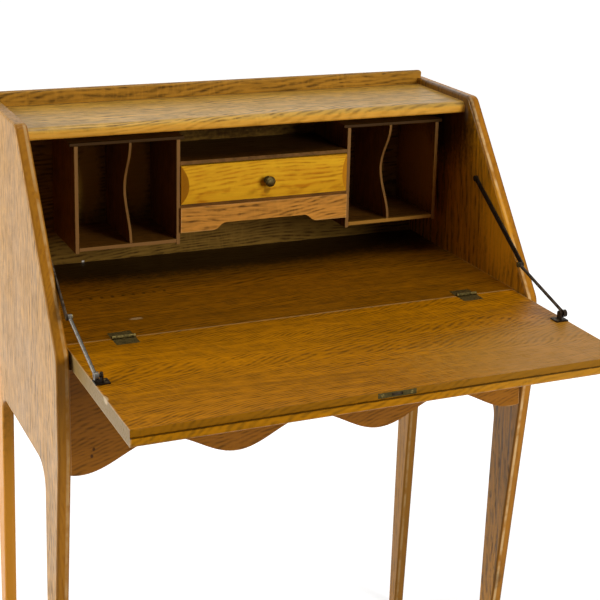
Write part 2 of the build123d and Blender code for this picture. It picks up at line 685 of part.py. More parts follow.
pieces.update(drawer_box())
for side_name, side_sign in (("left", -1), ("right", 1)):
    for piece_name, solid in bank(side_sign).items():
        pieces[f"bank_{side_name}_{piece_name}"] = solid
    pieces[f"hinge_{side_name}_bed_leaf"] = hinge_leaf(side_sign * HINGE_X, 1)
    pieces[f"hinge_{side_name}_lid_leaf"] = hinge_leaf(side_sign * HINGE_X, -1)
    pieces[f"hinge_{side_name}_pin"] = hinge_pin(side_sign * HINGE_X)
pieces.update(both_stays("stud", stay_stud()))
pieces.update(both_stays("upper_link", stay_upper_link()))
pieces.update(both_stays("rivet", stay_rivet()))
pieces.update(both_stays("lower_link", stay_lower_link()))
pieces.update(both_stays("rivet_head", stay_rivet_head()))
pieces.update(both_stays("eye", stay_eye()))

for node, shape in pieces.items():
    export_step(shape, f"parts/{node}.step")
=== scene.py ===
import math
from collections import namedtuple

import bpy
import numpy as np
from bpy.props import FloatProperty, FloatVectorProperty, IntProperty, PointerProperty
from mathutils import Matrix, Vector


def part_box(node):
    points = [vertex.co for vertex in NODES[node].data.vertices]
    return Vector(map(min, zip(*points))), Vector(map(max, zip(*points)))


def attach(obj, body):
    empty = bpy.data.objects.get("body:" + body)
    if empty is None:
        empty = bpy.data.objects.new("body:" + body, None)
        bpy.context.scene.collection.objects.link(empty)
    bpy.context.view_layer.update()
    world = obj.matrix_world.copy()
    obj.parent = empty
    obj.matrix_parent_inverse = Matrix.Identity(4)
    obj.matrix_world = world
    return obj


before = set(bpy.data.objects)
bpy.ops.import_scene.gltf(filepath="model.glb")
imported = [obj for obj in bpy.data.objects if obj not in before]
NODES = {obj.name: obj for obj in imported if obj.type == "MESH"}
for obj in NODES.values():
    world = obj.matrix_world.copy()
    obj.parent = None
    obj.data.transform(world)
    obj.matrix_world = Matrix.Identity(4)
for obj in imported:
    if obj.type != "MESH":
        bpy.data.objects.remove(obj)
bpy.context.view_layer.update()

bl_info = {
    "name": "Secretary desk",
    "version": (1, 0, 0),
    "blender": (4, 5, 0),
    "location": "3D View > Sidebar > Desk",
    "description": "Oak and metal finishes, screws and stage for a fall-front writing desk",
    "category": "Object",
}

MM = 0.001

# Faces of the case that marks and screws lie on
SIDE_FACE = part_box("side_right")[0].x
BACK_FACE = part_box("back_panel")[0].y
APRON_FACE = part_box("front_apron")[0].y
BED_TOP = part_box("writing_bed")[1].z

# Bands across a side board's front edge: where each starts and is full, as distances from the inner face
# The first two bands are dirt with painted shade along the corners
OUTER_GRIME_AND_SHADE = (14.0 * MM, 17.0 * MM)
INNER_GRIME_AND_SHADE = (3.0 * MM, 1.0 * MM)
# The last two bands are a painted highlight line inside the corners
HIGHLIGHT_FROM = (2.0 * MM, 3.5 * MM)
HIGHLIGHT_TO = (8.0 * MM, 6.0 * MM)

# Screw heads: how far in from a plate's edge they sit
HINGE_INSET = 7.0 * MM
SELVAGE_INSET = 7.0 * MM
STRIKE_INSET = 5.0 * MM
EYE_INSET = 5.0 * MM

# An eye plate's thickness, and how far its two screws are from its middle
EYE_PLATE = 2.0 * MM
EYE_SPREAD = 4.5 * MM

# How deep a head's rim sinks below a face, and the width of a slot's mouth as a share of its floor's
HINGE_SINK = 0.3 * MM
PLATE_SINK = 0.2 * MM
SLOT_LIP = 1.08

# Boards' edges: points this close are joined, and edges sharper than this are rounded
WELD_GAP = 0.01 * MM
ROUND_FROM = math.radians(50.0)

# Stage: the camera's sensor in millimetres, square lamps turned to one point, and the floor's half width
SENSOR = 36.0
LAMP_SIZE = 1.3
LAMP_AIM = (0.0, -0.05, 0.85)
LAMP_PLACE = {"side": (-2.72, 0.94, 1.63), "fill": (1.45, -2.56, 1.63), "top": (0.0, -0.05, 3.85)}
FLOOR_HALF = 20.0

# A spot of stain, wear, painted light or painted shade: its middle, its half sizes, its colour and how strong
# it is
Mark = namedtuple("Mark", "place reach color strength")

# A mark's half size where it runs the whole length of a board
ALL_ALONG = 3.0

# Turns that bring a board's grain direction onto the pattern's first axis
GRAIN_TURN = {
    "x": (0.0, 0.0, 0.0),
    "y": (0.0, 0.0, -math.pi / 2),
    "z": (0.0, math.pi / 2, 0.0),
}


def tint(name, default, description):
    """A colour that the user can change, in linear light."""
    return FloatVectorProperty(name=name, description=description, default=(*default, 1.0), size=4,
                               min=0.0, max=1.0, subtype="COLOR")


def length(name, default, description):
    """A length that the user can change, in metres."""
    return FloatProperty(name=name, description=description, default=default, min=0.0, precision=5,
                         subtype="DISTANCE", unit="LENGTH")


def amount(name, default, description, high=1.0):
    """A plain number that the user can change."""
    return FloatProperty(name=name, description=description, default=default, min=0.0, max=high)


def angle(name, degrees, description):
    """An angle that the user can change."""
    return FloatProperty(name=name, description=description, default=math.radians(degrees), subtype="ANGLE")


class OakSettings(bpy.types.PropertyGroup):
    """Colours and gloss of the oak."""

    left: tint("Left side", (0.40, 0.182, 0.010), "Left side board and its legs")
    right: tint("Right side", (0.48, 0.195, 0.006), "Right side board and its legs")
    top: tint("Top", (0.56, 0.31, 0.048), "Top board")
    rail: tint("Gallery", (0.355, 0.168, 0.018), "Low rail behind the top")
    lid: tint("Lid", (0.385, 0.141, 0.001), "Hinged part of the writing surface")
    bed: tint("Bed", (0.228, 0.080, 0.001), "Fixed part of the writing surface")
    apron: tint("Apron", (0.285, 0.102, 0.005), "Scalloped front apron")
    inner: tint("Pigeonholes", (0.155, 0.062, 0.008), "Boards of the pigeonholes")
    small: tint("Small apron", (0.58, 0.250, 0.040), "Shaped apron under the drawer")
    back: tint("Back", (0.165, 0.088, 0.016), "Back panel")
    drawer: tint("Drawer", (1.0, 0.378, 0.016), "Swelled drawer front")
    pore: tint("Pores", (0.045, 0.018, 0.004), "Open pores filled with dark finish")
    # Worn edge also colours the painted highlight line along the side boards' front edges
    worn: tint("Worn edge", (0.72, 0.46, 0.20), "Bare wood along worn edges")
    edge: tint("Side edge", (0.38, 0.135, 0.005), "Stained front edges of the side boards")
    # Grime also stands for painted shade along the side boards' rounded front corners
    grime_and_shade: tint("Grime", (0.12, 0.045, 0.003), "Dirt along rounded corners")
    front: tint("Front edge", (0.29, 0.150, 0.050), "Rubbed front edges of thin boards")
    ring_step: length("Ring step", 0.0062, "Distance between growth rings across a board")
    pale_gain: amount("Late wood", 1.48, "How much paler the late wood is than the mean", 3.0)
    brown_gain: amount("Early wood", 0.62, "How much darker the early wood is than the mean", 3.0)
    # On the drawer's half-moon facets this darkening is end grain together with painted shade
    end_gain: amount("End grain", 0.55, "How much darker a board's ends are than the mean", 3.0)
    roughness: amount("Varnish roughness", 0.34, "Roughness of the satin varnish")
    fleck_gain: amount("Flecks", 1.9, "How much paler the ray flecks are than the mean", 3.0)
    edge_share: amount("Edge stain", 0.75, "Strength of the stain on the side boards' front edges")
    # This strength is of dirt and painted shade together
    grime_and_shade_share: amount("Grime strength", 0.7, "Strength of the dirt along rounded corners")
    dulling: amount("Dulling", 0.16, "Roughness that open pores add")
    haze: amount("Haze", 0.16, "How much the varnish's roughness varies over a board")
    bump: amount("Grain bump", 0.55, "Strength of the grain's relief")
    relief: length("Grain relief", 0.00035, "Depth of the open grain under the varnish")
    wear_width: length("Edge wear", 0.0022, "How far wear reaches in from an edge")
    edge_round: length("Edge round", 0.0007, "Rounding of the boards' handled edges")


class MetalSettings(bpy.types.PropertyGroup):
    """Colours of the brass and steel fittings."""

    brass: tint("Brass", (0.20, 0.145, 0.045), "Handled brass")
    olive: tint("Dark brass", (0.070, 0.052, 0.018), "Brass darkened by age")
    tarnish: tint("Tarnish", (0.060, 0.045, 0.014), "Tarnished brass")
    steel: tint("Steel", (0.050, 0.036, 0.024), "Darkened steel")
    burnt: tint("Burnt steel", (0.022, 0.014, 0.008), "Steel blackened by age")
    worn: tint("Worn steel", (0.10, 0.088, 0.070), "Steel between dark and bright")
    bright: tint("Bright steel", (0.16, 0.145, 0.12), "Steel rubbed bright")
    roughness: amount("Metal roughness", 0.42, "Roughness of the metal fittings")
    dulling: amount("Tarnish roughness", 0.18, "Roughness that tarnish adds")
    bump: amount("Scratches", 0.3, "Strength of the metal's relief")
    relief: length("Scratch depth", 0.0002, "Depth of the metal's relief")
    knob_gain: amount("Knob", 3.2, "How much paler the knob is than dark brass", 5.0)


class ScrewSettings(bpy.types.PropertyGroup):
    """Sizes of the slotted screw heads."""

    radius: length("Head radius", 0.0030, "Radius of a screw head")
    crown: length("Crown", 0.0005, "Rise of a screw head's middle")
    slot_width: length("Slot width", 0.0009, "Width of the driver slot")
    slot_depth: length("Slot depth", 0.0007, "Depth of the driver slot")
    rows: IntProperty(name="Rows", description="Grid rows across a screw head", default=14, min=6, max=40)


class StageSettings(bpy.types.PropertyGroup):
    """Camera, floor and lights."""

    floor: tint("Floor", (0.60, 0.60, 0.59), "Pale studio floor")
    glow: amount("Glow", 0.72, "How far the floor under the desk is brightened to white", 2.0)
    reach: length("Shadow reach", 1.6, "How far from the desk the floor keeps its shadow")
    floor_rough: amount("Floor roughness", 0.9, "Roughness of the floor")
    place: FloatVectorProperty(
        name="Camera", description="Camera's place", default=(-0.82983, -1.9105, 1.48591), size=3,
        subtype="TRANSLATION", unit="LENGTH")
    azimuth: angle("Azimuth", 25.13, "Camera's turn to the right")
    elevation: angle("Elevation", 14.97, "Camera's tilt down")
    roll: angle("Roll", 1.75, "Camera's roll")
    lens: FloatProperty(name="Lens", description="Focal length on a 36 mm sensor", default=88.12, min=10.0)
    shift: FloatVectorProperty(
        name="Shift", description="Lens shift of the framing", default=(-0.06347, -0.16647), size=2)
    ambient: amount("Ambient", 0.02, "Light from all round", 4.0)
    side: amount("Side", 76.0, "Power of the lamp at the left, in watts", 2000.0)
    fill: amount("Fill", 69.0, "Power of the lamp at the front right, in watts", 2000.0)
    top: amount("Top", 27.0, "Power of the lamp overhead, in watts", 2000.0)


# Node helpers

def put(tree, kind, values=None, **settings):
    """A node with its settings, and each named input set to a value or linked to a socket."""
    node = tree.nodes.new(kind)
    for key, value in settings.items():
        setattr(node, key, value)
    for key, value in (values or {}).items():
        if isinstance(value, bpy.types.NodeSocket):
            tree.links.new(value, node.inputs[key])
        else:
            node.inputs[key].default_value = value
    return node


def calc(tree, operation, *values):
    """The result of a Math node."""
    return put(tree, "ShaderNodeMath", dict(enumerate(values)), operation=operation).outputs[0]


def combine(tree, operation, *values):
    """The vector result of a Vector Math node."""
    return put(tree, "ShaderNodeVectorMath", dict(enumerate(values)), operation=operation).outputs[0]


def noise(tree, vector, stretch, detail=2.0, rough=0.55, bend=0.0):
    """Noise between 0 and 1 on coordinates stretched by a vector of cycles per metre."""
    place = combine(tree, "MULTIPLY", vector, stretch)
    values = {"Vector": place, "Scale": 1.0, "Detail": detail, "Roughness": rough, "Distortion": bend}
    return put(tree, "ShaderNodeTexNoise", values).outputs[0]


def step(tree, value, low, high):
    """0 below low, 1 above high and smooth between them."""
    values = {"Value": value, "From Min": low, "From Max": high}
    return put(tree, "ShaderNodeMapRange", values, interpolation_type="SMOOTHSTEP").outputs[0]


def blend(tree, factor, first, second, mode="MIX"):
    """Two colours blended by a factor."""
    node = put(tree, "ShaderNodeMix", data_type="RGBA", blend_type=mode)
    for index, value in ((0, factor), (6, first), (7, second)):
        if isinstance(value, bpy.types.NodeSocket):
            tree.links.new(value, node.inputs[index])
        else:
            node.inputs[index].default_value = value
    return node.outputs[2]


def new_group(name, inputs, outputs):
    """An empty node group with its sockets, its input sockets' outputs and its output sockets' inputs."""
    group = bpy.data.node_groups.new(name, "ShaderNodeTree")
    for label, kind, default in inputs:
        socket = group.interface.new_socket(label, in_out="INPUT", socket_type=kind)
        socket.default_value = default
    for label, kind in outputs:
        group.interface.new_socket(label, in_out="OUTPUT", socket_type=kind)
    return group, put(group, "NodeGroupInput").outputs, put(group, "NodeGroupOutput").inputs


# Shared effects

def oak_grain():
    """Growth bands, fine streaks, open pores and ray flecks along the first axis."""
    name = "Oak grain"
    if name in bpy.data.node_groups:
        return bpy.data.node_groups[name]
    black = (0.0, 0.0, 0.0, 1.0)
    group, given, result = new_group(
        name,
        [("Vector", "NodeSocketVector", (0.0, 0.0, 0.0)), ("Pale", "NodeSocketColor", black),
         ("Brown", "NodeSocketColor", black), ("Pore", "NodeSocketColor", black),
         ("Fleck", "NodeSocketColor", black), ("Fleck Amount", "NodeSocketFloat", 0.3),
         ("Pore Amount", "NodeSocketFloat", 0.7), ("Rings", "NodeSocketFloat", 1000.0),
         ("Slope", "NodeSocketFloat", 0.0), ("Contrast", "NodeSocketFloat", 1.0)],
        [("Color", "NodeSocketColor"), ("Height", "NodeSocketFloat"), ("Dull", "NodeSocketFloat")])
    vector = given["Vector"]
    wander = noise(group, vector, (1.3, 5.0, 5.0))
    sway = calc(group, "MULTIPLY", calc(group, "SUBTRACT", wander, 0.5), 0.09)
    aside = put(group, "ShaderNodeCombineXYZ", {"Y": sway, "Z": sway}).outputs[0]
    bent = combine(group, "ADD", vector, aside)
    parts = put(group, "ShaderNodeSeparateXYZ", {0: bent}).outputs
    bands = step(group, noise(group, bent, (2.2, 50.0, 50.0), 4.0, 0.6, 0.25), 0.36, 0.64)
    streaks = step(group, noise(group, bent, (9.0, 170.0, 170.0), 3.0, 0.6), 0.36, 0.64)
    across = calc(group, "ADD", parts[1], calc(group, "MULTIPLY", parts[2], 0.7))
    across = calc(group, "SUBTRACT", across, calc(group, "MULTIPLY", parts[0], given["Slope"]))
    ripple = calc(group, "MULTIPLY", noise(group, vector, (11.0, 24.0, 24.0), 3.0), 13.0)
    phase = calc(group, "ADD", calc(group, "MULTIPLY", across, given["Rings"]), ripple)
    rise = calc(group, "ADD", calc(group, "MULTIPLY", calc(group, "SINE", phase), 0.5), 0.5)
    broken = step(group, noise(group, vector, (45.0, 90.0, 90.0), 2.0), 0.30, 0.65)
    line = calc(group, "MULTIPLY", calc(group, "POWER", rise, 1.6), broken)
    open_noise = noise(group, bent, (26.0, 270.0, 270.0), 2.0, 0.6)
    early = calc(group, "ADD", calc(group, "MULTIPLY", line, 0.9), 0.25)
    pores = calc(group, "MULTIPLY", step(group, open_noise, 0.44, 0.62), early)
    lean = combine(group, "ADD", vector, put(group, "ShaderNodeCombineXYZ", {
        "X": calc(group, "MULTIPLY", parts[1], 0.35)}).outputs[0])
    rays = step(group, noise(group, lean, (150.0, 32.0, 32.0), 2.0, 0.5, 0.8), 0.48, 0.72)
    patches = step(group, noise(group, vector, (4.0, 8.0, 8.0)), 0.42, 0.62)
    flecks = calc(group, "MULTIPLY", calc(group, "MULTIPLY", rays, patches), given["Fleck Amount"])
    soft = calc(group, "MULTIPLY", calc(group, "SUBTRACT", calc(group, "ADD", bands, streaks), 1.0), 0.28)
    sharp = calc(group, "MULTIPLY", calc(group, "SUBTRACT", 0.22, line), 0.75)
    swing = calc(group, "MULTIPLY", calc(group, "ADD", soft, sharp), given["Contrast"])
    tone = calc(group, "ADD", swing, 0.5)
    color = blend(group, tone, given["Brown"], given["Pale"])
    color = blend(group, calc(group, "MULTIPLY", pores, given["Pore Amount"]), color, given["Pore"])
    color = blend(group, flecks, color, given["Fleck"])
    group.links.new(color, result["Color"])
    height = calc(group, "SUBTRACT", calc(group, "MULTIPLY", streaks, 0.25), pores)
    group.links.new(height, result["Height"])
    group.links.new(calc(group, "SUBTRACT", pores, calc(group, "MULTIPLY", flecks, 0.5)), result["Dull"])
    return group


def edge_wear():
    """A mask along a box's edges, broken by noise: two of the three depths below its faces are small."""
    name = "Edge wear"
    if name in bpy.data.node_groups:
        return bpy.data.node_groups[name]
    zero = (0.0, 0.0, 0.0)
    group, given, result = new_group(
        name,
        [("Vector", "NodeSocketVector", zero), ("Middle", "NodeSocketVector", zero),
         ("Half", "NodeSocketVector", zero), ("Width", "NodeSocketFloat", 0.002)],
        [("Mask", "NodeSocketFloat")])
    away = combine(group, "ABSOLUTE", combine(group, "SUBTRACT", given["Vector"], given["Middle"]))
    depth = put(group, "ShaderNodeSeparateXYZ", {0: combine(group, "SUBTRACT", given["Half"], away)}).outputs
    low = calc(group, "MINIMUM", depth[0], depth[1])
    high = calc(group, "MAXIMUM", depth[0], depth[1])
    second = calc(group, "MAXIMUM", low, calc(group, "MINIMUM", high, depth[2]))
    rough = noise(group, given["Vector"], (38.0, 38.0, 38.0), 3.0)
    reach = calc(group, "MULTIPLY", given["Width"], calc(group, "MULTIPLY", rough, 1.8))
    near = calc(group, "SUBTRACT", 1.0, calc(group, "DIVIDE", second, reach))
    group.links.new(step(group, near, 0.0, 0.7), result["Mask"])
    return group


def patch_mark():
    """A soft-edged spot with a ragged outline: 1 inside an ellipsoid about a place, 0 outside it."""
    name = "Patch mark"
    if name in bpy.data.node_groups:
        return bpy.data.node_groups[name]
    zero = (0.0, 0.0, 0.0)
    group, given, result = new_group(
        name,
        [("Vector", "NodeSocketVector", zero), ("Place", "NodeSocketVector", zero),
         ("Reach", "NodeSocketVector", (0.01, 0.01, 0.01)), ("Ragged", "NodeSocketFloat", 0.6)],
        [("Mask", "NodeSocketFloat")])
    offset = combine(group, "SUBTRACT", given["Vector"], given["Place"])
    offset = combine(group, "DIVIDE", offset, given["Reach"])
    far = put(group, "ShaderNodeVectorMath", {0: offset}, operation="LENGTH").outputs["Value"]
    rough = calc(group, "SUBTRACT", noise(group, given["Vector"], (160.0, 160.0, 160.0), 3.0), 0.5)
    edge = calc(group, "ADD", far, calc(group, "MULTIPLY", rough, given["Ragged"]))
    group.links.new(calc(group, "SUBTRACT", 1.0, step(group, edge, 0.45, 1.0)), result["Mask"])
    return group


def tarnish_cloud():
    """Blotches and fine scratches for metal."""
    name = "Tarnish"
    if name in bpy.data.node_groups:
        return bpy.data.node_groups[name]
    group, given, result = new_group(
        name, [("Vector", "NodeSocketVector", (0.0, 0.0, 0.0))],
        [("Mask", "NodeSocketFloat"), ("Height", "NodeSocketFloat")])
    blotch = step(group, noise(group, given["Vector"], (170.0, 170.0, 170.0), 4.0, 0.6), 0.36, 0.66)
    scratch = noise(group, given["Vector"], (90.0, 1500.0, 1500.0), 2.0)
    group.links.new(blotch, result["Mask"])
    group.links.new(calc(group, "ADD", scratch, calc(group, "MULTIPLY", blotch, 0.6)), result["Height"])
    return group


# Materials

def fill_group(tree, group, values):
    """A group's node with its inputs set or linked."""
    node = tree.nodes.new("ShaderNodeGroup")
    node.node_tree = group
    for key, value in values.items():
        if isinstance(value, bpy.types.NodeSocket):
            tree.links.new(value, node.inputs[key])
        else:
            node.inputs[key].default_value = value
    return node


def blank_material(name):
    """A new material, its tree, its Principled shader and its coordinates."""
    material = bpy.data.materials.new(name)
    material.use_nodes = True
    tree = material.node_tree
    tree.nodes.clear()
    shader = put(tree, "ShaderNodeBsdfPrincipled")
    put(tree, "ShaderNodeOutputMaterial", {"Surface": shader.outputs[0]})
    return material, tree, shader, put(tree, "ShaderNodeTexCoord").outputs


def board_box(node):
    """The middle and half size of a node's box."""
    low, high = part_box(node)
    return tuple((low + high) / 2), tuple((high - low) / 2)


def shade(color, gain):
    """A colour made paler or darker by a factor."""
    return (*(min(1.0, value * gain) for value in color[:3]), 1.0)


def stain_edge(tree, color, place, facing, rim):
    """A side board's front edge: stain, dirt with painted shade along both corners and a painted highlight
    line inside them.
    """
    paint = bpy.context.scene.desk_oak
    aside = calc(tree, "ABSOLUTE", put(tree, "ShaderNodeSeparateXYZ", {0: place}).outputs[0])
    depth = calc(tree, "SUBTRACT", aside, SIDE_FACE)
    forward = calc(tree, "MULTIPLY", facing[1], -1.0)
    ahead = step(tree, forward, 0.15, 0.50)
    color = blend(tree, calc(tree, "MULTIPLY", ahead, paint.edge_share), color, paint.edge)
    # Dark bands along both corners: dirt together with painted shade
    corners = calc(tree, "MAXIMUM", step(tree, depth, *OUTER_GRIME_AND_SHADE), step(tree, depth, *INNER_GRIME_AND_SHADE))
    grime_and_shade = calc(tree, "MULTIPLY", calc(tree, "MULTIPLY", corners, ahead), paint.grime_and_shade_share * rim)
    color = blend(tree, grime_and_shade, color, paint.grime_and_shade)
    # A pale line in the worn colour inside the corners: a painted highlight of the rounded edge, broken by
    # noise
    line = calc(tree, "MULTIPLY", step(tree, depth, *HIGHLIGHT_FROM), step(tree, depth, *HIGHLIGHT_TO))
    line = calc(tree, "MULTIPLY", line, step(tree, forward, 0.20, 0.50))
    broken = step(tree, noise(tree, place, (30.0, 30.0, 30.0), 3.0), 0.30, 0.60)
    rub = calc(tree, "MULTIPLY", calc(tree, "MULTIPLY", line, broken), rim)
    return blend(tree, rub, color, paint.worn)


def oak(node, finish, grain, seed, fleck=0.25, pore=0.7, wear=0.5, front=0.0, ends=0.0, rim=0.0, ring=1.0,
        slope=0.08, contrast=1.0, cheek=None, marks=(), sheen=0.18, glow=(1.0, 1.0, 1.0, 1.0)):
    """Oak for one board: grain along an axis, stained or worn edges, painted shade and a painted highlight on
    the side boards' front edges, and marks, some of them painted light or shade.
    """
    paint = bpy.context.scene.desk_oak
    material, tree, shader, coords = blank_material(f"Oak {node}")
    place = coords["Object"]
    turned = put(tree, "ShaderNodeMapping", {
        "Vector": place, "Rotation": GRAIN_TURN[grain], "Location": (0.37 * seed, 0.61 * seed, 0.23 * seed)})
    mean = getattr(paint, finish)
    wood = fill_group(tree, oak_grain(), {
        "Vector": turned.outputs[0], "Pale": shade(mean, paint.pale_gain),
        "Brown": shade(mean, paint.brown_gain), "Pore": paint.pore, "Fleck": shade(mean, paint.fleck_gain),
        "Fleck Amount": fleck, "Pore Amount": pore, "Rings": 2.0 * math.pi / (ring * paint.ring_step),
        "Slope": slope, "Contrast": contrast})
    color = wood.outputs["Color"]
    facing = put(tree, "ShaderNodeSeparateXYZ", {0: coords["Normal"]}).outputs
    # Faces turned sideways take the end colour: pale end grain on the lid, and end grain with painted shade
    # on the drawer's facets
    if ends:
        cheek = cheek or shade(mean, paint.end_gain)
        turned_away = step(tree, calc(tree, "ABSOLUTE", facing[0]), 0.15, 0.40)
        color = blend(tree, calc(tree, "MULTIPLY", turned_away, ends), color, cheek)
    if front:
        ahead = step(tree, calc(tree, "MULTIPLY", facing[1], -1.0), 0.50, 0.90)
        color = blend(tree, calc(tree, "MULTIPLY", ahead, front), color, paint.front)
    if rim:
        color = stain_edge(tree, color, place, facing, rim)
    if wear:
        middle, half = board_box(node)
        rubbed = fill_group(tree, edge_wear(), {
            "Vector": place, "Middle": middle, "Half": half, "Width": paint.wear_width})
        color = blend(tree, calc(tree, "MULTIPLY", rubbed.outputs[0], wear), color, paint.worn)
    for mark in marks:
        spot = fill_group(tree, patch_mark(), {"Vector": place, "Place": mark.place, "Reach": mark.reach})
        share = calc(tree, "MULTIPLY", spot.outputs[0], mark.strength)
        color = blend(tree, share, color, (*mark.color, 1.0))
    tree.links.new(color, shader.inputs["Base Color"])
    cloud = noise(tree, place, (9.0, 9.0, 9.0), 3.0)
    dull = calc(tree, "MULTIPLY", wood.outputs["Dull"], paint.dulling)
    haze = calc(tree, "MULTIPLY", calc(tree, "SUBTRACT", cloud, 0.5), paint.haze)
    rough = calc(tree, "ADD", calc(tree, "ADD", dull, haze), paint.roughness)
    tree.links.new(rough, shader.inputs["Roughness"])
    shader.inputs["Specular IOR Level"].default_value = sheen
    shader.inputs["Specular Tint"].default_value = glow
    bump = put(tree, "ShaderNodeBump", {
        "Height": wood.outputs["Height"], "Strength": paint.bump, "Distance": paint.relief})
    tree.links.new(bump.outputs[0], shader.inputs["Normal"])
    return material


def metal(name, main, stain, extra=0.0):
    """Metal with blotches of a second colour."""
    paint = bpy.context.scene.desk_metal
    material, tree, shader, coords = blank_material(name)
    cloud = fill_group(tree, tarnish_cloud(), {"Vector": coords["Object"]})
    color = blend(tree, cloud.outputs["Mask"], main, stain)
    tree.links.new(color, shader.inputs["Base Color"])
    shader.inputs["Metallic"].default_value = 1.0
    dull = calc(tree, "MULTIPLY", cloud.outputs["Mask"], paint.dulling)
    rough = calc(tree, "ADD", dull, paint.roughness + extra)
    tree.links.new(rough, shader.inputs["Roughness"])
    bump = put(tree, "ShaderNodeBump", {
        "Height": cloud.outputs["Height"], "Strength": paint.bump, "Distance": paint.relief})
    tree.links.new(bump.outputs[0], shader.inputs["Normal"])
    return material


def dress(node, material):
    """The material on every slot of a CAD node."""
    for slot in NODES[node].material_slots:
        slot.material = material


def varnish(node, *given, **more):
    """The node's own oak on it."""
    dress(node, oak(node, *given, **more))


def soften(node):
    """A small rounding on a board's edges, made by modifiers."""
    weld = NODES[node].modifiers.new("Weld", "WELD")
    weld.merge_threshold = WELD_GAP
    bevel = NODES[node].modifiers.new("Round", "BEVEL")
    bevel.width = bpy.context.scene.desk_oak.edge_round
    bevel.segments = 2
    bevel.limit_method = "ANGLE"
    bevel.angle_limit = ROUND_FROM


# Meshes

def grid_mesh(name, x, y, z):
    """A mesh object from three arrays of one grid: neighbours along both indices share a face."""
    rows, columns = x.shape
    points = np.stack([x, y, z], axis=-1).reshape(-1, 3)
    index = np.arange(rows * columns).reshape(rows, columns)
    quads = np.stack([index[:-1, :-1], index[1:, :-1], index[1:, 1:], index[:-1, 1:]], axis=-1).reshape(-1, 4)
    mesh = bpy.data.meshes.new(name)
    mesh.from_pydata(points.tolist(), [], quads.tolist())
    mesh.update()
    piece = bpy.data.objects.new(name, mesh)
    bpy.context.scene.collection.objects.link(piece)
    return piece


def screw_head(name, place, normal, turn, scale=1.0):
    """A slotted head on a grid of s and t from -1 to 1.

    x = s and y = t * sqrt(1 - s^2) fill a unit disc. The height is crown * (1 - r^2), less the slot's depth
    where s lies between the slot's walls. The disc is scaled, turned in its plane and then set on the normal.
    """
    size = bpy.context.scene.desk_screw
    radius = size.radius * scale
    slot = size.slot_width / 2 / size.radius
    lip = slot * SLOT_LIP
    side = np.linspace(lip, 1.0, size.rows)
    s = np.concatenate([-side[::-1], [-slot, slot], side])
    t = np.linspace(-1.0, 1.0, 2 * size.rows)
    s, t = np.meshgrid(s, t, indexing="ij")
    x = s
    y = t * np.sqrt(np.maximum(1.0 - s ** 2, 0.0))
    r2 = x ** 2 + y ** 2
    cut = np.where(np.abs(s) < (slot + lip) / 2, size.slot_depth, 0.0)
    z = scale * (size.crown * (1.0 - r2) - cut)
    c, d = math.cos(turn), math.sin(turn)
    flat = np.stack([radius * (c * x - d * y), radius * (d * x + c * y), z], axis=-1)
    basis = np.array(Vector(normal).to_track_quat("Z", "Y").to_matrix())
    points = flat @ basis.T + np.array(place)
    return grid_mesh(name, points[..., 0], points[..., 1], points[..., 2])


# Operators

